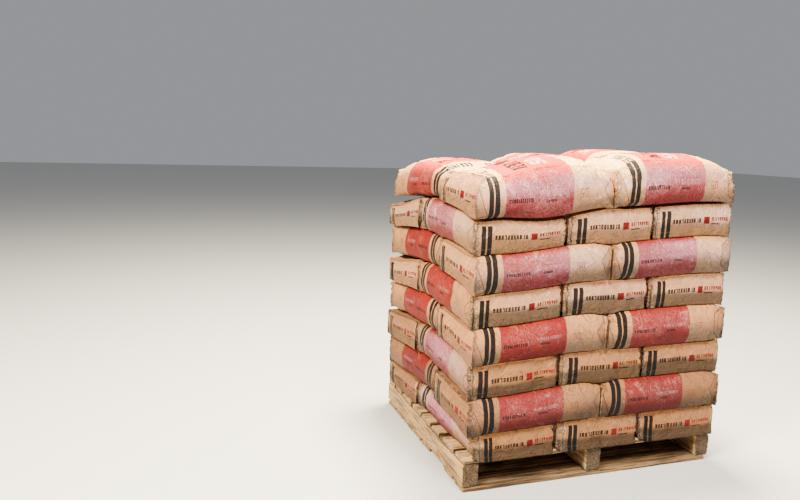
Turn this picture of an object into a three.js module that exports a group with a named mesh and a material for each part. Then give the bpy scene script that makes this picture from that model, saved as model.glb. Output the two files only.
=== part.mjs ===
// A pallet of sacks: forty block-bottom paper sacks of cement, stacked crosswise in eight layers
// on a two-way wooden stringer pallet. Millimetres, +Z up. The origin is the centre of the
// pallet's underside, X runs along the fork entry face and Y along the stringers.
import * as THREE from 'three';

// Pallet
const PALLET_LENGTH_X = 1200;
const PALLET_DEPTH_Y = 1000;
const STRINGER_WIDTH = 68;
const STRINGER_HEIGHT = 98;
const BOARD_THICKNESS = 20;
const CHIPPED_BOARD_END = 16; // what is broken off the right end of the front bottom board

// Where each board lies along Y, from its front edge to its back edge. The wide gap in the
// bottom deck lets the wheels of a pallet jack down to the floor.
const BOTTOM_BOARD_SPANS = [
  [-500, -393], [-388, -280], [-120, -12], [-6, 124], [130, 258], [266, 370], [378, 497],
];
const DECK_BOARD_SPANS = [
  [-500, -402], [-384, -264], [-224, -132], [-110, 2], [16, 130], [146, 278], [290, 388], [400, 500],
];

// One filled sack, as it lies squeezed in the stack
const SACK_LENGTH = 604;
const SACK_WIDTH = 400;
const SACK_GAP = 2; // between neighbours in one layer
const BOTTOM_LAYER_HEIGHT = 127; // the most squeezed layer, sunk between the deck boards
const LAYER_HEIGHT = 146;
const TOP_LAYER_HEIGHT = 122; // at the edges of the sacks that nothing lies on
// How far each top sack's middle swells above its edges
const TOP_CROWNS = {
  front: { left: 76, right: 103 },
  back: { left: 48, middle: 78, right: 105 },
};
const CROWN_POWER_ALONG = 3; // how broad a crown is along its sack, and across it
const CROWN_POWER_ACROSS = 2.5;

// The stack on the pallet
const LAYER_COUNT = 8;
const SIDE_OUT_FRONT_Y = -530; // the bulged front of a layer that turns its long sides out
const END_OUT_FRONT_Y = -503; // the flat front of a layer that turns its ends out
// Where the middle of each row lies along X, layer by layer: none is quite on the one below
const ROW_CENTRES_X = {
  front: [5, 0, 0, 8, -2, 4, -2, -7],
  back: [-4, 4, -7, -1, -5, 1, -10, 6],
};

// A sack's section across its length, from the bottom round one side to the top: how far out,
// as a share of half the width, and how high, as a share of the height.
const SECTION_SIDE = [[0.86, 0], [0.965, 0.13], [1, 0.36], [1, 0.64], [0.965, 0.87], [0.86, 1]];
const CROWN_STEPS = [0.6, 0.3, -0.3, -0.6]; // more points across a crowned top

// How the section shrinks towards a sack's flat end: the distance from the end in millimetres,
// and the shares of the full width and height there.
const END_TAPER = [[0, 0.915, 0.8], [14, 0.965, 0.92], [62, 1, 1]];
const CROWN_STATIONS = [120, 200]; // more sections along a crowned sack, from each end
const TAPER_CENTRE = 0.44; // the height, as a share of the full one, that an end shrinks towards

const paper = new THREE.MeshStandardMaterial({ color: 0xc7a680, roughness: 0.75, metalness: 0 });
const dustyPaper = new THREE.MeshStandardMaterial({ color: 0xcdb497, roughness: 0.8, metalness: 0 });
const stringerWood = new THREE.MeshStandardMaterial({ color: 0xa98d6d, roughness: 0.85, metalness: 0 });
const boardWood = new THREE.MeshStandardMaterial({ color: 0xb59c7c, roughness: 0.85, metalness: 0 });

const deckTop = STRINGER_HEIGHT + 2 * BOARD_THICKNESS;

// The points of one section, anticlockwise seen from the sack's far end
function sectionPoints(crowned) {
  const right = SECTION_SIDE.map(([out, up]) => [out, up]);
  const top = crowned ? CROWN_STEPS.map((out) => [out, 1]) : [];
  const left = SECTION_SIDE.map(([out, up]) => [-out, up]).reverse();
  return [...right, ...top, ...left];
}

// The sections along the sack, as distance from the near end and shares of width and height
function stations(crowned) {
  const near = [...END_TAPER];
  if (crowned) near.push(...CROWN_STATIONS.map((d) => [d, 1, 1]));
  const far = near.map(([d, w, h]) => [SACK_LENGTH - d, w, h]).reverse();
  return [...near, ...far];
}

// A sack lying along X with its middle at x = 0, y = 0 and its underside at z = 0, lofted
// through its sections and closed by a flat fan at each end
function sackGeometry(height, crown) {
  const points = sectionPoints(crown > 0);
  const rows = stations(crown > 0);
  const positions = [];
  for (const [distance, widthShare, heightShare] of rows) {
    const x = distance - SACK_LENGTH / 2;
    const along = 1 - Math.abs(2 * x / SACK_LENGTH) ** CROWN_POWER_ALONG;
    for (const [out, up] of points) {
      const level = TAPER_CENTRE + (up - TAPER_CENTRE) * heightShare;
      const swell = up === 1 ? crown * along * (1 - Math.abs(out) ** CROWN_POWER_ACROSS) : 0;
      positions.push(x, out * widthShare * SACK_WIDTH / 2, level * height + swell);
    }
  }
  const count = points.length;
  const index = [];
  for (let row = 0; row + 1 < rows.length; row += 1) {
    for (let i = 0; i < count; i += 1) {
      const a = row * count + i;
      const b = row * count + (i + 1) % count;
      index.push(a, b, b + count, a, b + count, a + count);
    }
  }
  const last = (rows.length - 1) * count;
  for (let i = 1; i + 1 < count; i += 1) {
    index.push(0, i + 1, i);
    index.push(last, last + i, last + i + 1);
  }
  const geometry = new THREE.BufferGeometry();
  geometry.setAttribute('position', new THREE.Float32BufferAttribute(positions, 3));
  geometry.setIndex(index);
  geometry.computeVertexNormals();
  return geometry;
}

function addSack(layer, name, material, geometry, x, y, alongY) {
  const sack = new THREE.Mesh(geometry, material);
  sack.name = name;
  sack.position.set(x, y, 0);
  if (alongY) sack.rotation.z = Math.PI / 2;
  layer.add(sack);
}

// A layer is a row of three sacks side by side, lying along Y, and a row of two end to end,
// lying along X. Odd layers have the row of three in front, so they turn sack ends to the front.
function makeLayer(number) {
  const layer = new THREE.Group();
  const endsInFront = number % 2 === 1;
  const isTop = number === LAYER_COUNT;
  const height = number === 1 ? BOTTOM_LAYER_HEIGHT : isTop ? TOP_LAYER_HEIGHT : LAYER_HEIGHT;
  const front = endsInFront ? END_OUT_FRONT_Y : SIDE_OUT_FRONT_Y;
  const frontDepth = endsInFront ? SACK_LENGTH : SACK_WIDTH;
  const backDepth = endsInFront ? SACK_WIDTH : SACK_LENGTH;
  const frontY = front + frontDepth / 2;
  const backY = front + frontDepth + SACK_GAP + backDepth / 2;
  const threeY = endsInFront ? frontY : backY;
  const twoY = endsInFront ? backY : frontY;
  const threeName = endsInFront ? 'front' : 'back';
  const twoName = endsInFront ? 'back' : 'front';
  ['left', 'middle', 'right'].forEach((side, i) => {
    const x = ROW_CENTRES_X[threeName][number - 1] + (i - 1) * (SACK_WIDTH + SACK_GAP);
    const geometry = sackGeometry(height, isTop ? TOP_CROWNS[threeName][side] : 0);
    addSack(layer, `sack_layer${number}_${threeName}_${side}`, paper, geometry, x, threeY, true);
  });
  ['left', 'right'].forEach((side, i) => {
    const x = ROW_CENTRES_X[twoName][number - 1] + (i - 0.5) * (SACK_LENGTH + SACK_GAP);
    const geometry = sackGeometry(height, isTop ? TOP_CROWNS[twoName][side] : 0);
    addSack(layer, `sack_layer${number}_${twoName}_${side}`, dustyPaper, geometry, x, twoY, false);
  });
  return { layer, height };
}

function addPlank(parent, name, material, low, high) {
  const size = high.map((value, i) => value - low[i]);
  const plank = new THREE.Mesh(new THREE.BoxGeometry(...size), material);
  plank.name = name;
  plank.position.set(...low.map((value, i) => value + size[i] / 2));
  parent.add(plank);
}

function makePallet() {
  const pallet = new THREE.Group();
  const halfX = PALLET_LENGTH_X / 2;
  const halfY = PALLET_DEPTH_Y / 2;
  const stringerBottom = BOARD_THICKNESS;
  const stringerTop = BOARD_THICKNESS + STRINGER_HEIGHT;
  const stringerEdges = { left: -halfX, middle: -STRINGER_WIDTH / 2, right: halfX - STRINGER_WIDTH };
  for (const [side, x] of Object.entries(stringerEdges)) {
    addPlank(pallet, `stringer_${side}`, stringerWood,
      [x, -halfY, stringerBottom], [x + STRINGER_WIDTH, halfY, stringerTop]);
  }
  BOTTOM_BOARD_SPANS.forEach(([from, to], i) => {
    const right = i === 0 ? halfX - CHIPPED_BOARD_END : halfX;
    addPlank(pallet, `bottom_board_${i + 1}`, boardWood, [-halfX, from, 0], [right, to, stringerBottom]);
  });
  DECK_BOARD_SPANS.forEach(([from, to], i) => {
    addPlank(pallet, `deck_board_${i + 1}`, boardWood, [-halfX, from, stringerTop], [halfX, to, deckTop]);
  });
  return pallet;
}

const palletOfSacks = new THREE.Group();
palletOfSacks.add(makePallet());
let level = deckTop;
for (let number = 1; number <= LAYER_COUNT; number += 1) {
  const { layer, height } = makeLayer(number);
  layer.position.z = level;
  palletOfSacks.add(layer);
  level += height;
}

export default palletOfSacks;
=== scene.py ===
"""A wooden pallet stacked crosswise with forty printed paper sacks of cement.

Metres, +Z up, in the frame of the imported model. Every sack and every plank is a surface worked
out on the lattice of a box, and every finish is maths on the surface's own places.
"""
from collections import namedtuple

import bpy
import numpy as np
from mathutils import Matrix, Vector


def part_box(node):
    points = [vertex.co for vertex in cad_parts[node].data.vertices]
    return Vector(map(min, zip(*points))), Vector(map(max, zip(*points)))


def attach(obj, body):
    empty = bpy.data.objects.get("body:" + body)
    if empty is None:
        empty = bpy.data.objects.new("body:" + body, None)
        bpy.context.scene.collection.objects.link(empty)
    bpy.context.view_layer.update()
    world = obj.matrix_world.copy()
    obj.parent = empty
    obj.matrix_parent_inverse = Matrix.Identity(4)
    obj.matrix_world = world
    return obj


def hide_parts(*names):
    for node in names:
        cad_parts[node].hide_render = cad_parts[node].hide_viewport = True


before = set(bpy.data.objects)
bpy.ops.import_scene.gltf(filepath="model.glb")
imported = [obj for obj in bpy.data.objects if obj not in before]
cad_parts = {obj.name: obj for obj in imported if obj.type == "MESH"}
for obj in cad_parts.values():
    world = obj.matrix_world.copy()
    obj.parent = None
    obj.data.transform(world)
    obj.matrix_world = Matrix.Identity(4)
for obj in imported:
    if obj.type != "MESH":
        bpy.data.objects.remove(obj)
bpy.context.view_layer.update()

# The stack
LAYERS = 8
TOP_EDGE = 0.122  # how high the top sacks are at their edges
PAPER_GAP = 0.0012  # between one sack's paper and the next one's
END_PINCH = 0.011  # how much lower a sack's flat end is than its middle, at its upper edge
END_LIFT = 0.004  # and how much higher at its lower edge
PINCH_REACH = 0.085  # how far from its end a sack starts to narrow
CORNER_DROP = (0.022, 0.0025)  # how far the stack sinks at its left corners, and more each layer
RIGHT_RISE = (-0.002, 0.0035)  # how far it climbs towards the right, and more each layer
END_DROOP = [0, 0, 0.014, 0, 0.024, 0, 0.036]  # how far the back left corner of each layer droops
SLUMP = 0.022  # how far the top left sack hangs down over the ends below it
SKEW = 0.05  # how far the back rows' left sides splay out, for each metre towards the back
FOLD_REACH = 0.052  # how far the folded corners of a flat end reach along the sack
BLUNT_REACH = 0.012  # how much further a blunt fold reaches
FOLD_DEPTH = 0.004  # how deep the paper beside a flat end is folded in
END_INSET = 0.0065  # how much narrower a flat end is than its sack, at each side
BOTTOM_INSET = 0.014  # how far the lowest sacks' left sides lie inside the pallet's edge
SIDE_INSET = 0.0008  # how far a sack's sides stay inside its packed width
BLUNT_INSET = 0.014  # how much narrower still an end with a blunt fold is, at each side
LEFT_LEAN = {"left": 0.045, "right": 0.004}  # how far in the top front sacks' left ends lean
RIGHT_LEAN = 0.012  # and their right ends

# How far dents, folds and pleats move the paper
SLOW_DENT, CLOSE_DENT = 0.0030, 0.0016
LONG_FOLD, CROSS_FOLD = 0.0034, 0.0030
TOP_LONG_FOLD, TOP_CROSS_FOLD = 0.0050, 0.0040
END_FOLD, END_DENT, PLEAT = 0.0045, 0.0022, 0.0020
MOST_OUT = 0.001  # the most that a point moves out below the top layer

# The printing on a sack, measured along it from its striped end
STRIPES = [(0.053, 0.073), (0.078, 0.099)]
PANEL = (0.122, 0.410)
TOP_REACH = 0.19  # from the middle of the top round to the shoulder, in printed metres
SIDE_REACH = 0.16  # from the upper shoulder to the lower one
HALF_SACK = 0.302  # half a sack's length

# The printing on a flat end, measured across it from the viewer's right
BARS = [(0.303, 0.321), (0.3265, 0.3445)]
BARS_TOP = 0.109  # how high the bars reach
END_HEIGHT = 0.128  # how high a flat end's printing is counted, whatever the sack is squeezed to

# The figures that have each straight stroke, by the stroke's band across and its band upright
FIGURE_STROKES = {
    "whole top": "02356789", "whole middle": "2345689", "whole bottom": "0235689",
    "left up": "045689", "left low": "0268", "right up": "01234789", "right low": "013456789",
}

# From the lowest layer up: how dusty it is, how dusty its long sides that face left are instead,
# and how much painted shade darkens and browns its paper
LAYER_DUST = [0.15, 0.25, 0.15, 0.25, 0.65, 0.76, 0.65, 1.0]
LEFT_DUST = [0.9, 0.04, 0.8, 0.06, 0.08, 0.06, 0.75, 0.25]
LAYER_PAINTED_SHADE = [0.65, 0.65, 0.50, 0.05, 0.0, 0.0, 0.10, 0.0]

# How high the painted shade along the lower edge of the flat ends in front reaches, layer by layer,
# as a share of the end's height
END_SHADE_EDGES = {
    1: {"left": 0.38, "middle": 0.30, "right": 0.32}, 3: {"left": 0.30, "middle": 0.40, "right": 0.38},
    5: {"left": 0.37, "middle": 0.42, "right": 0.38}, 7: {"left": 0.40, "middle": 0.36, "right": 0.40},
}
USUAL_EDGE = 0.34  # the same on the other ends, and about where the dust on a side starts

# How far the printing of each sack in front is off its usual place to the right, from the left
# to the right and from the lowest layer up
FRONT_SHIFTS = [
    (0.014, 0.011, -0.015), (0.015, -0.011), (-0.001, -0.004, -0.019), (-0.002, -0.013),
    (-0.007, -0.001, -0.004), (-0.004, -0.006), (-0.014, -0.003, -0.008), (0.002, 0.012),
]

# Where the apex of the fold beside an end lies on the side, from its top at 0 to its bottom at 1,
# and the ends in front whose fold has no sharp apex
APEX_AT_STRIPES, APEX_AT_PLAIN_END = 0.88, 0.45
BLUNT_FOLDS = ("sack_layer8_front_right", "sack_layer6_front_right", "sack_layer4_front_right")

# What is known of each point of a sack: s along it and t across it in metres, v across and c
# upright on its box from -1 to 1, its rise from the underside at 0 to the top at 1, how far it is
# from the nearer flat end, the side of the box that each quad is on, how far it is to the left on
# an end from -1 to 1, and the fold's apex and bluntness
Places = namedtuple("Places", "s t v c rise from_end side viewer_left apex blunt")

random = np.random.default_rng(20)


# Noise on arrays

def smooth_noise(seed, *places):
    """Value noise from -1 to 1: random numbers at whole places, joined by smooth cubic steps."""
    cells = [np.floor(p).astype(np.int64) for p in places]
    steps = [p - c for p, c in zip(places, cells)]
    steps = [s * s * (3 - 2 * s) for s in steps]
    total = 0
    for corner in np.ndindex(*(2,) * len(places)):
        mixed = np.full(cells[0].shape, seed * 7919 + 13, np.int64)
        weight = 1.0
        for axis, bit in enumerate(corner):
            mixed = (mixed ^ (cells[axis] + bit) * (73856093, 19349663, 83492791)[axis]) * 1103515245
            mixed = (mixed ^ (mixed >> 15)) & 0x7FFFFFFF
            weight = weight * (steps[axis] if bit else 1 - steps[axis])
        total = total + weight * (mixed % 65536 / 32767.5 - 1)
    return total


def ridge(seed, *places):
    """Creases: 1 on the lines where smooth noise passes zero, falling to 0 beside them."""
    return np.clip(1 - 5 * np.abs(smooth_noise(seed, *places)), 0, 1)


def ease(x):
    """A smooth step from 0 at x = 0 to 1 at x = 1."""
    x = np.clip(x, 0, 1)
    return x * x * (3 - 2 * x)


# Surfaces

def cuts(half, edge, fine, coarse):
    """Places from -half to half, about fine apart within edge of both ends and coarse between."""
    near = np.linspace(-half, -half + edge, max(2, round(edge / fine) + 1))
    middle = np.linspace(-half + edge, half - edge, max(2, round(2 * (half - edge) / coarse) + 1))
    return np.concatenate([near[:-1], middle, -near[:-1][::-1]])


def box_lattice(*axes):
    """The surface of a box cut at the places in axes: its points, quads, and each quad's side.

    A side is numbered 2 * axis, plus 1 at the high end of that axis. Points on an edge of the
    box are shared, and every quad runs anticlockwise seen from outside.
    """
    sizes = [len(a) for a in axes]
    keys, sides = [], []
    for axis in range(3):
        first, second = (axis + 1) % 3, (axis + 2) % 3
        i, j = np.meshgrid(np.arange(sizes[first] - 1), np.arange(sizes[second] - 1), indexing="ij")
        for high in (0, 1):
            corners = [(0, 0), (1, 0), (1, 1), (0, 1)]
            if not high:
                corners = corners[::-1]
            quad = []
            for di, dj in corners:
                place = [None] * 3
                place[axis] = np.full(i.shape, high * (sizes[axis] - 1))
                place[first], place[second] = i + di, j + dj
                quad.append((place[0] * sizes[1] + place[1]) * sizes[2] + place[2])
            keys.append(np.stack(quad, -1).reshape(-1, 4))
            sides.append(np.full(i.size, 2 * axis + high))
    keys = np.concatenate(keys)
    used, quads = np.unique(keys, return_inverse=True)
    index = np.unravel_index(used, sizes)
    points = [axes[a][index[a]] for a in range(3)]
    return points, quads.reshape(-1, 4), np.concatenate(sides)


def normals_of(points, quads):
    """The mean normal at each point, from the crossed diagonals of the quads around it."""
    corner = points[quads]
    crossed = np.cross(corner[:, 2] - corner[:, 0], corner[:, 3] - corner[:, 1])
    total = np.zeros_like(points)
    for i in range(4):
        np.add.at(total, quads[:, i], crossed)
    return total / np.maximum(np.linalg.norm(total, axis=1, keepdims=True), 1e-12)


def make_piece(name, points, quads, material, uv=None, extra=None):
    """A smooth mesh object at the origin, with a UV map named print and point attributes."""
    mesh = bpy.data.meshes.new(name)
    mesh.from_pydata(points.tolist(), [], quads.tolist())
    mesh.shade_smooth()
    if uv is not None:
        layer = mesh.uv_layers.new(name="print")
        layer.data.foreach_set("uv", uv.astype(np.float32).ravel())
    for key, values in (extra or {}).items():
        attribute = mesh.attributes.new(key, "FLOAT", "POINT")
        attribute.data.foreach_set("value", values.astype(np.float32))
    mesh.materials.append(material)
    piece = bpy.data.objects.new(name, mesh)
    bpy.context.scene.collection.objects.link(piece)
    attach(piece, "root")
    return piece


# Finishes

class Value:
    """One number all over a surface. Python's operators on it add Math nodes."""

    def __init__(self, finish, socket):
        self.finish, self.socket = finish, socket

    def math(self, operation, *others):
        return self.finish.node("Math", {"operation": operation}, dict(enumerate((self, *others))))

    def __add__(self, other):
        return self.math("ADD", other)

    def __sub__(self, other):
        return self.math("SUBTRACT", other)

    def __rsub__(self, other):
        return self.finish.node("Math", {"operation": "SUBTRACT"}, {0: other, 1: self})

    def __mul__(self, other):
        return self.math("MULTIPLY", other)

    def __truediv__(self, other):
        return self.math("DIVIDE", other)

    __radd__ = __add__
    __rmul__ = __mul__

    def above(self, edge, soft=0.0006):
        """0 below the edge and 1 above it, with a soft step between."""
        return ((self - edge) / soft + 0.5).clamp()

    def within(self, low, high, soft=0.0006):
        return self.above(low, soft) * (1 - self.above(high, soft))

    def clamp(self):
        return self.finish.node("Clamp", {}, {0: self})

    def power(self, exponent):
        return self.math("POWER", exponent)

    def either(self, other):
        return self.math("MAXIMUM", other)


class Finish:
    """A material with one Principled shader, whose inputs are expressions."""

    def __init__(self, name, **settings):
        self.material = bpy.data.materials.new(name)
        self.material.use_nodes = True
        self.tree = self.material.node_tree
        self.shader = self.tree.nodes["Principled BSDF"]
        for key, value in settings.items():
            self.shader.inputs[key.replace("_", " ")].default_value = value
        self.place = self.node("TexCoord", {}, {}, "Object")

    def node(self, kind, settings, sockets, output=0):
        """Adds a node, with its settings first and then the values or links of its sockets."""
        made = self.tree.nodes.new("ShaderNode" + kind)
        for key, value in settings.items():
            setattr(made, key, value)
        for key, value in sockets.items():
            if isinstance(value, Value):
                self.tree.links.new(value.socket, made.inputs[key])
            elif isinstance(value, tuple) and made.inputs[key].type == "RGBA":
                made.inputs[key].default_value = (*value, 1)
            else:
                made.inputs[key].default_value = value
        return Value(self, made.outputs[output])

    def noise(self, scale, detail=3.0, roughness=0.5, distortion=0.0, vector=None):
        sockets = {"Vector": vector or self.place, "Scale": scale, "Detail": detail,
                   "Roughness": roughness, "Distortion": distortion}
        return self.node("TexNoise", {}, sockets)

    def stretched(self, x, y, z):
        """The object's places, scaled by x, y and z."""
        return self.node("Mapping", {}, {"Vector": self.place, "Scale": (x, y, z)})

    def mix(self, share, first, second, way="MIX"):
        """The first colour, turning into the second one as share goes from 0 to 1."""
        settings = {"data_type": "RGBA", "blend_type": way}
        return self.node("Mix", settings, {0: share, 6: first, 7: second}, 2)

    def attribute(self, name):
        return self.node("Attribute", {"attribute_name": name}, {}, "Fac")

    def bump(self, height, distance, strength=1.0):
        sockets = {"Height": height, "Distance": distance, "Strength": strength}
        self.wire("Normal", self.node("Bump", {}, sockets))

    def wire(self, name, value):
        self.tree.links.new(value.socket, self.shader.inputs[name])


def colour(red, green, blue):
    """A colour given as it shows on a screen, 0 to 255, as linear light."""
    share = np.array([red, green, blue]) / 255
    return tuple(np.where(share < 0.04045, share / 12.92, ((share + 0.055) / 1.055) ** 2.4).tolist())


def sack_paper():
    """Printed kraft paper: stripes, a red panel and plain marks, dulled by cement dust, with painted shade
    and highlights.
    """
    paper = Finish("sack_paper", Roughness=0.72, Specular_IOR_Level=0.12)
    uv = paper.node("UVMap", {"uv_map": "print"}, {})
    along = paper.node("SeparateXYZ", {}, {0: uv}, 0)
    around = paper.node("SeparateXYZ", {}, {0: uv}, 1)
    end = along.above(1.0, 0.01)
    tube = 1 - end
    across = along.math("MODULO", 1.0)
    outward = around.math("ABSOLUTE")
    down = (outward - TOP_REACH) / SIDE_REACH
    painted_layer_shade = paper.attribute("painted_layer_shade")
    dust_share = paper.attribute("dust")
    painted_under_shade = paper.attribute("painted_under_shade")
    number_of_sack = paper.attribute("number")

    def printed_place(along_scale, around_scale, slant):
        """The place on the sack's print as a vector, stretched and slanted, other for each sack."""
        slanted = along * along_scale + around * slant
        return paper.node("CombineXYZ", {}, {0: slanted, 1: around * around_scale, 2: number_of_sack * 3.7})

    soft = paper.noise(9, 4, 0.6)
    medium = paper.noise(38, 4, 0.65, 0.4)
    fine = paper.noise(260, 3, 0.7)
    fibre = paper.noise(900, 2, 0.6)
    fleck = paper.noise(1, 4, 0.75, 1.2, printed_place(170, 96, 60))
    speckle = paper.noise(1, 2, 0.8, 0.6, printed_place(420, 260, 110)).above(0.58, 0.06)
    long_crease = paper.noise(1, 2, 0.5, 0.9, printed_place(15, 9, 13))
    long_crease = 1 - ((long_crease - 0.5).math("ABSOLUTE") * 36).clamp()
    short_crease = paper.noise(1, 2, 0.5, 1.3, printed_place(44, 26, -20))
    short_crease = 1 - ((short_crease - 0.5).math("ABSOLUTE") * 20).clamp()
    crease_wear_and_highlight = (long_crease * soft.above(0.46, 0.12)).either(short_crease * medium.above(0.53, 0.1) * 0.8)
    wobble = (paper.noise(16, 2) - 0.5) * 0.004
    run = across + wobble

    # Beside each flat end, the paper was folded in between two creases that run from the end's
    # corners to an apex, or to a short upright crease where the fold is blunt
    from_end = along.math("MINIMUM", 2 * HALF_SACK - along)
    apex = paper.attribute("apex")
    blunt = paper.attribute("blunt")
    away = from_end / (FOLD_REACH + blunt * BLUNT_REACH)
    slant = away * (1 - blunt * 0.5)
    fold = (down - apex * slant).math("MINIMUM", 1 - down - (1 - apex) * slant) * 2
    fold = fold.math("MINIMUM", 1 - away + (1 - blunt) * 0.2)
    beside = tube * down.within(-0.02, 1.02, 0.02)
    fold_line = (1 - fold.math("ABSOLUTE") * 15).clamp() * beside
    fold_inside = fold.above(0.04, 0.08) * beside
    near_end = (1 - from_end / 0.030).clamp() * tube
    jagged = paper.noise(1, 2, 0.5, 1.5, printed_place(70, 44, 12))
    crumple = 1 - ((jagged - 0.5).math("ABSOLUTE") * 15).clamp()
    crumple_highlight = 1 - ((jagged - 0.55).math("ABSOLUTE") * 22).clamp()
    flap_edge = (paper.noise(1, 2, 0.6, 0, printed_place(0, 42, 0)) - 0.5) * 0.02
    flap = end * across.above(0.352, 0.003)
    flap_line = end * (1 - ((across + flap_edge - 0.366).math("ABSOLUTE") * 420).clamp())
    at_rim = near_end.power(1.5).either(flap * 0.55) * (1 - paper.attribute("open") * 0.4)
    hem = end * (1 - ((around - 0.023 + wobble).math("ABSOLUTE") * 900).clamp())

    # Plain kraft, yellowish and pinkish in patches; painted shade in low layers, painted highlight on top
    top_highlight = (1 - outward.above(TOP_REACH + 0.01, 0.07)) * paper.attribute("open")
    kraft = paper.mix(soft.above(0.5, 0.3), colour(182, 122, 80), colour(196, 134, 74))
    # Painted shade: the low layers' paper is darker and browner
    kraft = paper.mix(painted_layer_shade, kraft, colour(118, 74, 40))
    kraft = paper.mix(fibre.above(0.62, 0.2) * 0.25, kraft, colour(120, 78, 44))
    kraft = paper.mix(top_highlight * tube, kraft, colour(252, 200, 122))

    # The red panel round the tube
    panel = tube * run.within(*PANEL, 0.0012)
    red = paper.mix(soft.above(0.5, 0.25), colour(122, 14, 14), colour(142, 24, 10))
    # Painted shade: the low layers' red is darker too
    red = paper.mix(painted_layer_shade * 0.8, red, colour(90, 14, 12))
    red = paper.mix((dust_share * 1.2).clamp(), red, colour(132, 20, 42))
    # Painted highlight: the red turns coral on the top layer's tops
    red = paper.mix(top_highlight * 0.9, red, colour(232, 48, 14))

    # Charcoal stripes on the tube's sides, and two bars on each end
    side = outward.above(TOP_REACH - 0.022, 0.001)
    stripes = run.within(*STRIPES[0]).either(run.within(*STRIPES[1])) * tube * side
    bars = run.within(*BARS[0]).either(run.within(*BARS[1])) * (1 - around.above(BARS_TOP))
    black = stripes.either(bars * end)

    def box(left, right, bottom, top):
        return across.within(left, right) * outward.within(bottom, top)

    # Read from the left, places run from the striped end on the near side of a tube, and back
    # towards it on its far side and on the ends
    reverse = around.above(0, 0.0001)

    def figures(low, high, head, tall, pitch, stroke, figure=None, turned=False):
        """A row of plain figures between low and high, built of straight strokes like a clock's.

        Its top is at head and it is tall high. A turned row runs round the tube instead of along
        it, outwards from the middle of the top on one half of the tube and inwards on the other,
        so that both halves read the same way. The figure in each cell, 0 to 9, is given by the
        cell's number or else by chance. A stroke is inked where that figure's place in the
        stroke's row of binary digits holds one.
        """
        if turned:
            right = (outward - low) + (1 - reverse) * (low + high - outward * 2)
            below = across - head
        else:
            right = (across - low) + reverse * (low + high - across * 2)
            below = (outward - head) + end * (head * 2 - outward * 2)
        cell = (right / pitch).math("FLOOR")
        chance = paper.node("TexWhiteNoise", {"noise_dimensions": "1D"}, {"W": cell + low * 1000})
        value = figure(cell) if figure else (chance * 9.99).math("FLOOR")
        x = right - cell * pitch
        wide = pitch * 0.76
        bands = {
            "left": x.within(0, stroke), "right": x.within(wide - stroke, wide), "whole": x.within(0, wide),
            "up": below.within(0, tall / 2), "low": below.within(tall / 2, tall),
            "top": below.within(0, stroke), "bottom": below.within(tall - stroke, tall),
            "middle": below.within((tall - stroke) / 2, (tall + stroke) / 2),
        }
        place = paper.node("Math", {"operation": "POWER"}, {0: 2.0, 1: value})
        inked = 0
        for names, users in FIGURE_STROKES.items():
            first, second = names.split()
            digits = float(sum(2 ** int(user) for user in users))
            digit = paper.node("Math", {"operation": "DIVIDE"}, {0: digits, 1: place}).math("FLOOR")
            inked = (bands[first] * bands[second] * digit.math("MODULO", 2.0)).either(inked)
        return inked * right.within(0, high - low)

    def fifty(cell):
        return 5 - cell * 5

    # In black on the tube: two rows halfway down its sides, and two big turned rows on its top
    middle = TOP_REACH + 0.5 * SIDE_REACH
    long_code = figures(0.134, 0.237, head=middle - 0.004, tall=0.014, pitch=0.0079, stroke=0.0036)
    short_code = figures(0.295, 0.337, head=middle + 0.004, tall=0.009, pitch=0.0060, stroke=0.0024)
    letters = figures(0.030, 0.170, head=0.056, tall=0.042, pitch=0.0200, stroke=0.0095, turned=True)
    marks = figures(0.020, 0.150, head=0.178, tall=0.060, pitch=0.0325, stroke=0.014, turned=True)
    codes = long_code.either(short_code).either(letters)

    # On the ends: a black row, a short black line, and a red square with a red row beside it
    rows = figures(0.150, 0.290, head=0.073, tall=0.0175, pitch=0.0128, stroke=0.0048)
    rows = rows.either(box(0.055, 0.100, 0.047, 0.0515))
    red_row = figures(0.010, 0.100, head=0.076, tall=0.0145, pitch=0.0105, stroke=0.0043)
    emblem = box(0.110, 0.138, 0.050, 0.078).either(red_row) * end
    black = black.either(codes * tube).either(rows * end).either(marks * tube)

    # A faint 50 on the sides, a white one on the panel's top, and a white row on the panel's sides
    faint = figures(0.440, 0.480, middle - 0.014, 0.026, pitch=0.020, stroke=0.0034, figure=fifty) * tube
    white = figures(0.040, 0.140, 0.258, 0.062, pitch=0.050, stroke=0.011, figure=fifty, turned=True)
    white_row = figures(0.275, 0.385, head=middle - 0.018, tall=0.013, pitch=0.0092, stroke=0.0024)
    white = white.either(white_row) * tube

    # Ink rubbed thin on creases, then dust over everything, least of all on the black ink
    cover = 1 - crease_wear_and_highlight * 0.10 - fine.above(0.66, 0.1) * 0.08
    base = paper.mix(panel * cover, kraft, red)
    # The white print shows more under the painted highlight on the top layer's tops
    base = paper.mix(white * (0.18 + top_highlight * 0.5), base, colour(236, 222, 212))
    haze = dust_share * dust_share * (0.32 - panel * 0.08)
    crackle = panel * soft.above(0.47, 0.16) * (dust_share * 5 - 0.3).clamp() * 0.18
    flecks = fleck.above(0.60, 0.08) * (0.02 + crackle + dust_share * 0.32)
    specks = speckle * (0.02 + crackle + dust_share * 0.2)
    # The light lines on creases are partly dust and wear, and partly painted highlight
    dust = (haze + flecks + specks + crease_wear_and_highlight * (0.03 + dust_share * 0.32)).clamp()
    pink_dust = paper.mix((dust_share * 1.6).clamp(), colour(250, 208, 180), colour(254, 200, 208))
    base = paper.mix(dust, base, paper.mix(panel, colour(242, 217, 206), pink_dust))
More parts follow.
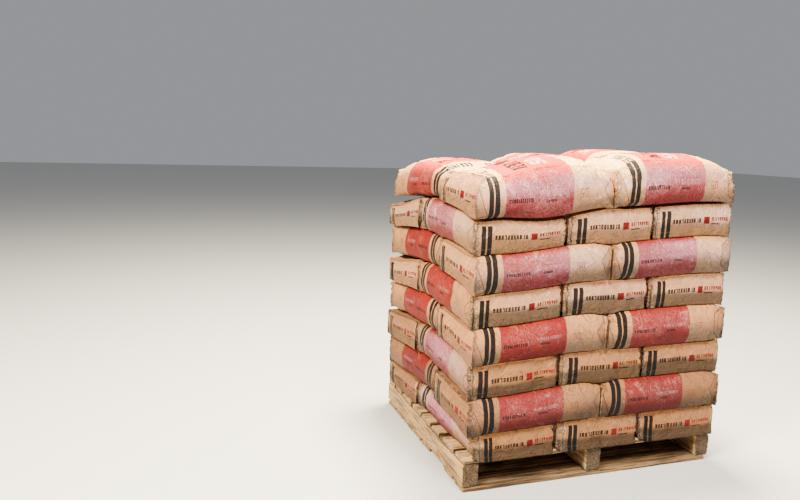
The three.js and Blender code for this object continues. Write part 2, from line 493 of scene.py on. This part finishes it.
    # Painted shade inside the triangle folded in beside each end
    base = paper.mix(fold_inside * 0.12, base, colour(112, 80, 52))
    black = black * (1 - fine.above(0.64, 0.1) * 0.12) * (0.99 - dust * 0.06)
    base = paper.mix(black, base, colour(10, 11, 14))
    base = paper.mix(emblem, base, colour(112, 8, 10))
    base = paper.mix(faint * 0.65, base, colour(130, 34, 30))
    # Painted shade in the creases: crumples at the rims, the flap's edge and the fold's creases
    shaded_creases = (crumple * at_rim).either(flap_line).either(fold_line * 0.6)
    base = paper.mix(flap * 0.35, base, colour(222, 176, 128))
    base = paper.mix(hem * 0.3, base, colour(214, 180, 146))
    # Painted highlight on the crumples' ridges near the rims
    base = paper.mix(crumple_highlight * at_rim * 0.6, base, colour(240, 222, 200))

    # Darker patches at random, then painted shade on the undercut lower halves, down to the seams
    base = paper.mix((1 - medium.above(0.5, 0.3)) * 0.22, base, (0.45, 0.45, 0.45), "MULTIPLY")
    shade = paper.mix(end, (0.15, 0.25, 0.48), (0.10, 0.16, 0.26))
    base = paper.mix(painted_under_shade * (1 - panel * 0.15), base, shade, "MULTIPLY")
    # Painted shade: the creases are painted dark
    base = paper.mix(shaded_creases * 0.8, base, colour(52, 34, 22))
    paper.wire("Base Color", base)
    paper.wire("Roughness", 0.60 + dust * 0.25 + fine * 0.08)
    height = medium * 0.4 + crease_wear_and_highlight * 0.8 + fleck * 0.2 + fine * 0.12 + fibre * 0.03 - shaded_creases * 1.4
    paper.bump(height - fold_inside * 0.3, 0.0062, 1.0)
    return paper.material


def sawn_wood(name, light, dark, along):
    """Weathered softwood sawn along an axis: grain, saw marks, checks, rust, dirt and painted shade."""
    wood = Finish(name, Roughness=0.85, Specular_IOR_Level=0.25)
    squeeze = {0: (0.045, 1, 1), 1: (1, 0.045, 1)}[along]
    lines = wood.noise(95, 4, 0.65, 0.6, wood.stretched(*squeeze))
    bands = wood.noise(22, 3, 0.6, 1.5, wood.stretched(*squeeze))
    patches = wood.noise(7, 4, 0.6)
    grit = wood.noise(300, 3, 0.7)
    checks = wood.noise(60, 2, 0.5, 0.4, wood.stretched(*squeeze))
    checks = 1 - ((checks - 0.5).math("ABSOLUTE") * 45).clamp()
    split = checks * patches.above(0.5, 0.1)
    rust = wood.noise(5, 3, 0.7, 0.5, wood.stretched(2, 2, 8)).above(0.60, 0.06) * lines.above(0.48, 0.06)
    base = wood.mix(bands.above(0.5, 0.35), light, dark)
    base = wood.mix(lines.above(0.54, 0.06) * 0.8, base, colour(90, 54, 28))
    base = wood.mix(patches.above(0.58, 0.2) * 0.3, base, colour(190, 164, 130))
    base = wood.mix(rust * 0.5, base, colour(132, 52, 30))
    base = wood.mix(split * 0.85, base, colour(38, 26, 18))
    # The sawn ends are darker: end grain, and partly painted shade
    end_grain_and_shade = wood.attribute("end_grain_and_shade") * (0.7 + grit * 0.6)
    base = wood.mix(end_grain_and_shade.clamp(), base, (0.17, 0.18, 0.23), "MULTIPLY")
    # Dirt, and painted shade in gaps, pockets and seams, darken the wood
    grime_and_shade = wood.attribute("grime_and_shade") * (0.2 + lines * 1.0 + grit * 0.5)
    base = wood.mix(grime_and_shade.clamp(), base, colour(40, 29, 20))
    wood.wire("Base Color", base)
    wood.wire("Roughness", 0.74 + lines * 0.2)
    wood.bump(lines * 0.6 + bands * 0.3 - split * 1.4 + grit * 0.15, 0.003, 0.8)
    return wood.material


def pale_floor():
    floor = Finish("floor", Base_Color=(*colour(202, 200, 196), 1), Roughness=0.9)
    return floor.material


# The stack's layers

class Sack:
    """Where one sack lies: its middle, its half sizes, and which way its printing runs."""

    def __init__(self, node):
        low, high = (np.array(corner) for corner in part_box(node))
        self.node = node
        self.layer = int(node[len("sack_layer")])
        self.row, self.side = node.split("_")[2:]
        self.middle = (low + high) / 2
        self.low, self.high = low[2], high[2]
        size = high - low
        self.along_y = bool(size[1] > size[0])
        self.half_length, self.half_width = sorted(size[:2] / 2)[::-1]
        odd_front = self.layer % 2 == 1 and self.row == "front"
        self.turn = -1 if odd_front or (self.row == "back" and self.side == "right") else 1
        self.seed = int(random.integers(1, 9000))

    def to_sack(self, x, y):
        """Places on the plan, as metres along and across the sack from its middle."""
        dx, dy = x - self.middle[0], y - self.middle[1]
        if self.along_y:
            return dy * self.turn, -dx * self.turn
        return dx * self.turn, dy * self.turn

    def to_plan(self, along, across):
        """The other way round: metres along and across the sack, as places on the plan."""
        a, b = along * self.turn, across * self.turn
        if self.along_y:
            return self.middle[0] - b, self.middle[1] + a
        return self.middle[0] + a, self.middle[1] + b


sacks = [Sack(name) for name in sorted(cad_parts) if name.startswith("sack_")]
layer_floor = [min(s.low for s in sacks if s.layer == n) for n in range(1, LAYERS + 1)]


def pinch(layer, x, y):
    """1 over the flat ends of a layer's sacks, falling to 0 over PINCH_REACH along each sack."""
    total = np.zeros_like(x)
    for sack in sacks:
        if sack.layer != layer:
            continue
        along, across = sack.to_sack(x, y)
        near_end = ease(1 - (sack.half_length - np.abs(along)) / PINCH_REACH)
        inside = ease((sack.half_width + 0.012 - np.abs(across)) / 0.024)
        reach = ease((sack.half_length + 0.06 - np.abs(along)) / 0.03)
        total = np.maximum(total, near_end * inside * reach)
    return total


def seam_height(level, x, y):
    """The height of the surface where layer number level ends and the next one starts.

    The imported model's level plane, pinched where sack ends lie at it and a little uneven by
    noise. It sinks towards the left corners and changes height towards the right, both by a fixed
    part and a part for each level. Odd levels sink less there, but more at the very front left.
    Under the top layer it also slumps in front, by a bell curve along the front.
    """
    low = END_PINCH * (0.8 + 0.3 * smooth_noise(level, x * 2.5 + 9, y * 2.5))
    height = layer_floor[level] - low * pinch(level, x, y) + END_LIFT * pinch(level + 1, x, y)
    height = height + 0.003 * smooth_noise(40 + level, x * 3.1, y * 3.1)
    corner = 0.3 + 0.7 * ease((np.abs(y + 0.02) - 0.12) / 0.36)
    drop = CORNER_DROP[0] + CORNER_DROP[1] * level - 0.008 * (level % 2)
    height = height - drop * corner * ease((-0.05 - x) / 0.45)
    height = height - 0.013 * (level % 2) * ease((-0.47 - x) / 0.12) * ease((-0.36 - y) / 0.12)
    height = height + (RIGHT_RISE[0] + RIGHT_RISE[1] * level) * ease(x / 0.5)
    if level == LAYERS - 1:
        front = ease((-0.38 - y) / 0.12)
        height = height - SLUMP * front * np.exp(-((x + 0.26) / 0.17) ** 2)
    return height


def tube_section(v, c):
    """A squeezed sack's section: flat on top and below, with sides like half ellipses, but by a
    power a little over two."""
    power = 2.15
    angle = c * np.pi / 2
    out = v * (1 - 0.20 * (1 - np.abs(np.cos(angle)) ** (2 / power)))
    return out, np.sign(angle) * np.abs(np.sin(angle)) ** (2 / power)


def dome_section(v, c):
    """A free sack's section: each point of a square is drawn in along its ray until its powers
    add up to one, with rounder powers above the widest line than below it."""
    power = np.where(c > 0, 2.9, 4.4)
    ring = np.maximum(np.abs(v), np.abs(c))
    norm = np.maximum((np.abs(v) ** power + np.abs(c) ** power) ** (1 / power), 1e-9)
    return v * ring / norm, c * ring / norm


def sack_surface(sack):
    """The places of a sack's lattice, before its creases.

    Along the sack its section stays the same to within FOLD_REACH of a flat end. From there it
    turns into the end's rectangle, by the share of that reach already passed, to the power 1.5.
    Beside the end, straight creases run from its corners to an apex, and the triangle between
    them is pressed in. Every height is the underside's plus the rise's share of the way to the
    ceiling, which is the next seam or, on the top layer, a crown that arches up from the ends.
    """
    top = sack.layer == LAYERS
    length = cuts(sack.half_length, 0.07, 0.006, 0.0085 if top else 0.0105)
    across = cuts(1.0, 0.16, 0.033, 0.044 if top else 0.078)
    upright = np.linspace(-1, 1, 27 if top else 23)
    (s, v, c), quads, side = box_lattice(length, across, upright)

    from_end = sack.half_length - np.abs(s)
    is_end = from_end < 1e-9
    blunt = (s > 0) * (sack.node in BLUNT_FOLDS)
    apex = np.where(s > 0, APEX_AT_PLAIN_END, APEX_AT_STRIPES)
    away = np.clip(from_end / (FOLD_REACH + BLUNT_REACH * blunt), 0, 1)
    share = 1 - (1 - away) ** 1.5
    out, up = dome_section(v, c) if top else tube_section(v, c)
    end_width = 1 - (END_INSET + BLUNT_INSET * blunt) / sack.half_width
    end_top = 1 - 0.10 * ease(c) if top else 1
    out = out * share + v * end_width * end_top * (1 - share)
    up = up * share + c * 0.97 * (1 - share)
    middle = 0.38 if top else 0.47
    middle = middle * share + 0.48 * (1 - share)
    rise = np.where(up > 0, middle + (1 - middle) * up, middle + middle * up)
    t = out * (sack.half_width - SIDE_INSET)

    # The triangle folded in beside each end
    slant = away * (1 - 0.5 * blunt)
    inside = 2 * np.minimum(1 - rise - apex * slant, rise - (1 - apex) * slant)
    inside = np.clip(inside / 0.16, 0, 1) * (np.abs(v) > 0.999) * (away < 1)
    t = t - np.sign(t) * FOLD_DEPTH * inside * np.clip(away / 0.1, 0, 1)

    # The flat ends' own relief
    viewer_left = np.where(s > 0, -1, 1) * t / (end_width * sack.half_width)
    wavy = 0.03 * smooth_noise(sack.seed + 11, rise * 5, s * 3)
    flap = 0.005 * ease((viewer_left - 0.86 - wavy) / 0.03)
    flap = flap + 0.003 * ease((viewer_left - 0.70 - wavy) / 0.05)
    turned_under = (0.006 if sack.layer == 1 else 0.025) * np.clip(0.18 - rise, 0, 1)
    turned_under = turned_under + (0.02 if top else 0.055) * np.clip(rise - 0.78, 0, 1)
    belly = 0.005 * np.cos(np.clip(viewer_left, -1, 1) * np.pi / 2) * np.sin(rise * np.pi)
    inward = (turned_under + flap - belly) * is_end + 0.001
    if top and sack.row == "front":
        lean = np.where(s > 0, RIGHT_LEAN, LEFT_LEAN[sack.side])
        lean = lean * np.clip((rise - 0.4) / 0.6, 0, 1) ** 2
        inward = inward + lean * (1 - np.clip(from_end / 0.15, 0, 1))
    s = np.sign(s) * (np.abs(s) - inward)

    x, y = sack.to_plan(s, t)
    if sack.row == "back":
        x = x - SKEW * (y - sack.middle[1]) * ease((-0.1 - x) / 0.4)
    if sack.layer == 1:
        x = x + BOTTOM_INSET * ease((-0.35 - x) / 0.25)
        x = x + 0.014 * ease((-0.42 - x) / 0.15) * ease((-0.25 - y) / 0.2) * (1 - 0.6 * rise)
        y = y - 0.006 * ease((-0.485 - y) / 0.015) * ease(1 - rise / 0.3)
        bottom = sack.low - 0.017 * ease((-0.498 - y) / 0.006)
    else:
        bottom = seam_height(sack.layer - 1, x, y)
    if top:
        crown = sack.high - layer_floor[-1] - TOP_EDGE
        arch = 1 - (1 - np.clip(from_end / 0.19, 0, 1)) ** 2.3
        if sack.node.endswith("8_front_left"):
            arch = 1 - (1 - np.clip(from_end / 0.16, 0, 1)) ** 2.8
            arch = np.where(s < 0, 1, arch) * (0.25 + 0.75 * ease((s + sack.half_length) / 0.36))
        if sack.node.endswith("8_front_right"):
            arch = 0.25 + 0.75 * arch
        drop = 0.020 * ease((-0.05 - x) / 0.5) * (1 - 0.6 * arch)
        if sack.node.endswith("8_back_middle"):
            drop = drop + 0.024 * ease(-x / 0.16)
        drop = drop + 0.010 * ease((-0.45 - x) / 0.15) * ease((y - 0.2) / 0.25)
        ceiling = layer_floor[-1] + TOP_EDGE - drop + crown * arch
    else:
        ceiling = seam_height(sack.layer, x, y) - PAPER_GAP
        if sack.row == "back" and sack.side == "left":
            corner = ease((-0.36 - x) / 0.24) * ease((y - 0.08) / 0.36)
            ceiling = ceiling - END_DROOP[sack.layer - 1] * corner
    z = bottom + (ceiling - bottom) * rise
    places = Places(s, t, v, c, rise, from_end, side, viewer_left, apex, blunt)
    return np.stack([x, y, z], -1), quads, places


def crease(sack, points, quads, places):
    """Presses folds and dents into a sack, only where no other sack lies against it.

    Each point moves along its normal: in or out by slow noise and by closer noise, and in by two
    kinds of ridges for long folds. Near a flat end it also moves in by close ridges, and in or
    out by pleats that run round the sack. Below the top layer none moves out over a millimetre.
    """
    s, t, v, c, rise, from_end = places[:6]
    top = sack.layer == LAYERS
    normal = normals_of(points, quads)
    if top:
        free = ease((c + 1) * 4)
    else:
        free = np.clip((np.abs(v) > 0.9) * 1.0 + (from_end < 0.001) * 1.0, 0, 1)
        free = free * ease((1 - np.abs(c)) * 5)
    seed = sack.seed
    around = np.where(np.abs(v) > 0.99, rise * 0.15, t)
    slow = SLOW_DENT * smooth_noise(seed, s * 7, around * 9)
    bulge = CLOSE_DENT * smooth_noise(seed + 1, s * 19, around * 22)
    long_fold = TOP_LONG_FOLD if top else LONG_FOLD
    cross_fold = TOP_CROSS_FOLD if top else CROSS_FOLD
    folds = long_fold * ridge(seed + 2, s * 9 + around * 6, around * 8 - s * 3)
    some = ease(smooth_noise(seed + 4, s * 4, around * 5) * 2)
    folds += cross_fold * ridge(seed + 3, s * 17 - around * 12, around * 14) * some
    near_end = ease(1 - from_end / 0.05)
    crumple = END_FOLD * ridge(seed + 7, s * 34, around * 30) * near_end
    crumple += END_DENT * smooth_noise(seed + 8, s * 60, around * 70) * near_end
    pleats = PLEAT * smooth_noise(seed + 5, s * 75, around * 7) * ease(1 - from_end / 0.12)
    move = (slow + bulge - folds + pleats - crumple) * free
    if not top:
        move = np.minimum(move, MOST_OUT)
    return points + normal * move[:, None], normal


def sack_wear(sack, points, normal, places):
    """Attributes of each point: how dusty it is, how much painted shade it gets in the undercut lower
    half of a side or at the lower edge of a flat end, how much painted shade its layer gets, the
    sack's number, whether it is in the top layer, and the apex and bluntness of its folds.

    Dust lies on the upper part of each side, in patches of noise. The painted shade is strongest at
    the underside and eases out with the rise, up to an edge that noise makes uneven.
    """
    s, t, v = places[:3]
    rise, from_end = places.rise, places.from_end
    top = sack.layer == LAYERS
    x, y, z = points.T
    patches = 0.5 + 0.5 * smooth_noise(sack.seed + 20, x * 6, y * 6, z * 12)
    dusty = LAYER_DUST[sack.layer - 1] * (0.75 + 0.5 * (sack.seed % 7) / 6)
    edge = USUAL_EDGE + 0.08 * smooth_noise(sack.seed + 21, s * 8, t * 8)
    if top:
        upward = np.clip(normal[:, 2] * 1.1 + 0.1, 0, 1)
        low_share = 0.2 + 0.8 * ease((rise - edge + 0.16) / 0.5)
        dust = (0.60 + 0.5 * patches) * (1 - 0.88 * upward ** 2) * low_share
    else:
        dust = (0.25 + 0.75 * ease((rise - edge + 0.08) / 0.26)) * ease((1.02 - rise) / 0.16)
        dust = dust * (0.5 + 0.6 * patches)
    facing_left = ease(-normal[:, 0] * 3 - 0.8)
    on_left = facing_left * (np.abs(v) > 0.9)
    dusty = dusty * (1 - on_left) + LEFT_DUST[sack.layer - 1] * on_left
    lift = (USUAL_EDGE - edge) * 0.7
    # Painted shade: darker towards the underside of each side and along the lower edge of each flat end
    if top:
        painted_under_shade = 0.72 * (1 - ease((rise - 0.13 + lift) / 0.42))
    else:
        painted_under_shade = 0.88 * (1 - ease((rise - 0.2 + lift) / 0.6))
    shade_edge = END_SHADE_EDGES.get(sack.layer, {}).get(sack.side, USUAL_EDGE)
    on_end = (0.65 if sack.layer == 7 else 0.88) * (1 - ease((rise - shade_edge + lift) / 0.2))
    painted_under_shade = np.where(from_end < 0.001, on_end, painted_under_shade)
    # Less painted shade on faces that turn left
    painted_under_shade = painted_under_shade * (1 - 0.4 * facing_left)
    dust = np.where(from_end < 0.001, dust * (0.5 if sack.layer % 2 == 0 else 1.0), dust)
    # Painted shade for the sack's layer, a little different for each sack
    layer_shade_share = LAYER_PAINTED_SHADE[sack.layer - 1] + 0.08 * np.sin(sack.seed)
    return {
        "dust": np.clip(dust * dusty, 0, 1),
        "painted_under_shade": painted_under_shade,
        "painted_layer_shade": np.full_like(x, np.clip(layer_shade_share, 0, 1)),
        "number": np.full_like(x, float(sacks.index(sack))),
        "open": np.full_like(x, float(top)),
        "apex": places.apex,
        "blunt": places.blunt,
    }


def print_places(sack, quads, places):
    """The UV map named print, in metres for every corner of every quad.

    On the tube, U runs along the sack from its striped end and V round it from the middle of the
    top. On the two ends, U is 2 or 3 plus the way across from the viewer's right, and V is the
    height.
    """
    of_points = (places.s, places.v, places.c, places.rise, places.viewer_left)
    s, v, c, rise, viewer_left = (values[quads] for values in of_points)
    round_top = np.abs(v) * TOP_REACH
    round_side = TOP_REACH + ((1 - c) / 2 if sack.layer == LAYERS else 1 - rise) * SIDE_REACH
    round_bottom = TOP_REACH + SIDE_REACH + (1 - np.abs(v)) * TOP_REACH
    face = places.side[:, None]
    around = np.select([face == 5, (face == 2) | (face == 3)], [round_top, round_side], round_bottom)
    shift = 0.009 * np.sin(sack.seed)
    if sack.row == "front":
        columns = ("left", "right") if sack.layer % 2 == 0 else ("left", "middle", "right")
        shift = FRONT_SHIFTS[sack.layer - 1][columns.index(sack.side)]
    u = s + sack.half_length - shift
    width = 2 * (sack.half_width - END_INSET)
    cap_u = np.where(face == 0, 2.0, 3.0) + (1 + viewer_left) / 2 * width + shift
    on_end = face < 2
    u = np.where(on_end, cap_u, u)
    tall = END_HEIGHT * (1.1 if sack.layer == LAYERS else 1)
    around = np.where(on_end, rise * tall, around * np.where(v < 0, -1, 1))
    return np.stack([u, around], -1).reshape(-1, 2)


def build_sack(sack, paper):
    points, quads, places = sack_surface(sack)
    points, normal = crease(sack, points, quads, places)
    wear = sack_wear(sack, points, normal, places)
    uv = print_places(sack, quads, places)
    piece = make_piece(sack.node.replace("sack_", "filled_sack_"), points, quads, paper, uv, wear)
    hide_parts(sack.node)


# The pallet

ON_FACE = 1e-6  # how near to a plank's face a point counts as lying on it
EDGE_WEAR, SMALL_CHIP, LARGE_CHIP = 0.0016, 0.004, 0.008  # how far in the long edges are broken
EDGE_REACH = 0.012  # and how far from the edge that starts
END_WEAR, SPLINTER, TORN_OUT = 0.0015, 0.003, 0.010  # how ragged the ends are
END_REACH = 0.03  # and how far from the end that starts
HALF_DIP = 0.0009  # half of the most that a face dips


def build_plank(node, wood, seed):
    """A rough sawn plank: a box whose edges are broken, whose ends are ragged and whose faces dip.

    Points near a long edge move in by the square of their nearness to it times noise, points near
    an end move in along the plank in the same way, and the faces sink by noise drawn out along it.
    """
    low, high = (np.array(corner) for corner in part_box(node))
    size = high - low
    along = int(np.argmax(size))
    half = size / 2
    lattice = []
    for axis in range(3):
        if axis == along:
            lattice.append(cuts(half[axis], 0.05, 0.006, 0.014))
        else:
            edge = min(0.014, half[axis] * 0.45)
            lattice.append(cuts(half[axis], edge, 0.0035, 0.012))
    places, quads, _ = box_lattice(*lattice)
    local = np.stack(places, -1)
    length = local[:, along]
    others = [axis for axis in range(3) if axis != along]
    a, b = (local[:, axis] for axis in others)
    half_a, half_b = (half[axis] for axis in others)

    # Edges broken off by chance: the nearer to a long edge, the more a point moves in
    small = smooth_noise(seed, length * 14, np.sign(a) * 3, np.sign(b) * 5)
    large = smooth_noise(seed + 1, length * 26, np.sign(a) * 7)
    chips = EDGE_WEAR + SMALL_CHIP * np.clip(small, 0, 1) + LARGE_CHIP * np.clip(large - 0.55, 0, 1)
    near_a = np.clip(1 - (half_a - np.abs(a)) / EDGE_REACH, 0, 1)
    near_b = np.clip(1 - (half_b - np.abs(b)) / EDGE_REACH, 0, 1)
    broken = (near_a * near_b) ** 2
    moved = local.copy()
    for axis in others:
        moved[:, axis] -= np.sign(local[:, axis]) * chips * broken
        dip = HALF_DIP * (smooth_noise(seed + 2 + axis, length * 5, a * 90, b * 90) + 1)
        on_face = np.abs(local[:, axis]) > half[axis] - ON_FACE
        moved[:, axis] -= np.sign(local[:, axis]) * dip * on_face
    at_end = np.clip(1 - (half[along] - np.abs(length)) / END_REACH, 0, 1)
    torn = smooth_noise(seed + 8, a * 60, b * 45, np.sign(length) * 2)
    ragged = END_WEAR + SPLINTER * (1 + smooth_noise(seed + 7, a * 130, b * 130, np.sign(length) * 2))
    ragged += TORN_OUT * np.clip(torn - 0.35, 0, 1)
    moved[:, along] -= np.sign(length) * ragged * at_end ** 2
    points = moved + (low + high) / 2

    # Patches of dirt, and painted shade in the gaps, on the lower deck, in the pockets and along seams
    x, y, z = local.T
    grime_and_shade = 0.25 * np.clip(smooth_noise(seed + 9, length * 8, a * 30, b * 30), 0, 1)
    at_end_face = np.abs(length) > half[along] - ON_FACE
    if "board" in node:
        is_front = node == "bottom_board_1"
        in_gap = (np.abs(y) > half[1] - ON_FACE) * (np.abs(z) < half[2] - ON_FACE)
        if is_front:
            in_gap = in_gap * (y > 0)
        front_face = is_front * (y < -half[1] + 0.004)
        grime_and_shade = grime_and_shade + 0.9 * in_gap + 0.6 * front_face
        # Painted shade on the lower boards' tops, less near their ends
        if node.startswith("bottom"):
            inner = np.clip((half[along] - np.abs(length)) / 0.02, 0.5, 1)
            grime_and_shade = grime_and_shade + 0.75 * (z > half[2] - ON_FACE) * inner * (1 - 0.8 * front_face)
        end_grain_and_shade = 0.2 * at_end_face
    else:
        in_pocket = (np.abs(x) > half[0] - ON_FACE) * (np.abs(length) < half[along] - 0.02)
        if node == "stringer_left":
            in_pocket = in_pocket * (x > 0)
        from_seam = np.minimum(z + half[2], half[2] - z)
        grime_and_shade = grime_and_shade + 0.55 * in_pocket + 0.6 * ease(1 - from_seam / 0.005)
        end_grain_and_shade = 1.0 * at_end_face
    wear = {"grime_and_shade": grime_and_shade, "end_grain_and_shade": end_grain_and_shade}
    piece = make_piece("worn_" + node, points, quads, wood, None, wear)
    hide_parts(node)


def build_pallet():
    board = sawn_wood("board_wood", colour(212, 172, 118), colour(164, 120, 72), 0)
    stringer = sawn_wood("stringer_wood", colour(206, 168, 112), colour(160, 116, 68), 1)
    for number, node in enumerate(sorted(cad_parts)):
        if node.startswith("stringer_"):
            build_plank(node, stringer, 300 + number * 11)
        elif "_board_" in node:
            build_plank(node, board, 500 + number * 11)


# The set

CAMERA_PLACE = np.array([-1.684, -2.874, 1.382])
CAMERA_YAW, CAMERA_PITCH, CAMERA_ROLL = np.radians([18.47, 8.96, 1.68])
SENSOR = 36.0  # the sensor's width in millimetres
FOCAL_PIXELS, FRAME_PIXELS = 699.0, 800  # the focal length and the frame's width, in pixels
FLOOR_REACH = 30  # how far the floor goes on, each way
SKY_TONE, SKY_STRENGTH = (0.80, 0.83, 0.88, 1), 0.4


def build_camera():
    """A camera at the photograph's place: turned right by the yaw, down by the pitch, and rolled."""
    level = np.array([np.sin(CAMERA_YAW), np.cos(CAMERA_YAW), 0])
    ahead = level * np.cos(CAMERA_PITCH) - np.array([0, 0, np.sin(CAMERA_PITCH)])
    right = np.array([np.cos(CAMERA_YAW), -np.sin(CAMERA_YAW), 0])
    up = np.cross(right, ahead)
    cosine, sine = np.cos(CAMERA_ROLL), np.sin(CAMERA_ROLL)
    right, up = cosine * right + sine * up, cosine * up - sine * right
    data = bpy.data.cameras.new("camera")
    data.sensor_width = SENSOR
    data.lens = SENSOR * FOCAL_PIXELS / FRAME_PIXELS
    camera = bpy.data.objects.new("camera", data)
    turn = np.eye(4)
    turn[:3, :3] = np.stack([right, up, -ahead], -1)
    turn[:3, 3] = CAMERA_PLACE
    camera.matrix_world = Matrix(turn.tolist())
    bpy.context.scene.collection.objects.link(camera)
    bpy.context.scene.camera = camera


def build_light(name, place, aim, size, power, tone):
    """A square lamp of so many metres and watts, turned so that its face looks at the aim."""
    data = bpy.data.lights.new(name, "AREA")
    data.shape = "SQUARE"
    data.size = size
    data.energy = power
    data.color = tone
    lamp = bpy.data.objects.new(name, data)
    back = np.array(place, float) - np.array(aim, float)
    back /= np.linalg.norm(back)
    right = np.cross([0, 1, 0] if abs(back[2]) > 0.99 else [0, 0, 1], back)
    right /= np.linalg.norm(right)
    turn = np.eye(4)
    turn[:3, :3] = np.stack([right, np.cross(back, right), back], -1)
    turn[:3, 3] = place
    lamp.matrix_world = Matrix(turn.tolist())
    bpy.context.scene.collection.objects.link(lamp)


def build_set():
    build_camera()
    build_light("left", (-3.6, -1.9, 4.0), (0, 0, 0.8), size=1.4, power=880, tone=(1.0, 0.92, 0.72))
    build_light("front", (0.1, -3.3, 4.9), (0, 0, 0.7), size=1.6, power=490, tone=(1.0, 0.97, 0.92))
    build_light("top", (0.2, 0.6, 4.6), (0, 0, 1.2), size=1.2, power=1450, tone=(1.0, 0.88, 0.66))
    world = bpy.data.worlds.new("studio")
    bpy.context.scene.world = world
    world.use_nodes = True
    background = world.node_tree.nodes["Background"]
    background.inputs["Color"].default_value = SKY_TONE
    background.inputs["Strength"].default_value = SKY_STRENGTH
    mesh = bpy.data.meshes.new("floor")
    far = FLOOR_REACH
    mesh.from_pydata([(-far, -far, 0), (far, -far, 0), (far, far, 0), (-far, far, 0)], [], [(0, 1, 2, 3)])
    mesh.materials.append(pale_floor())
    floor = bpy.data.objects.new("floor", mesh)
    bpy.context.scene.collection.objects.link(floor)


build_set()
build_pallet()
paper = sack_paper()
for sack in sacks:
    build_sack(sack, paper)
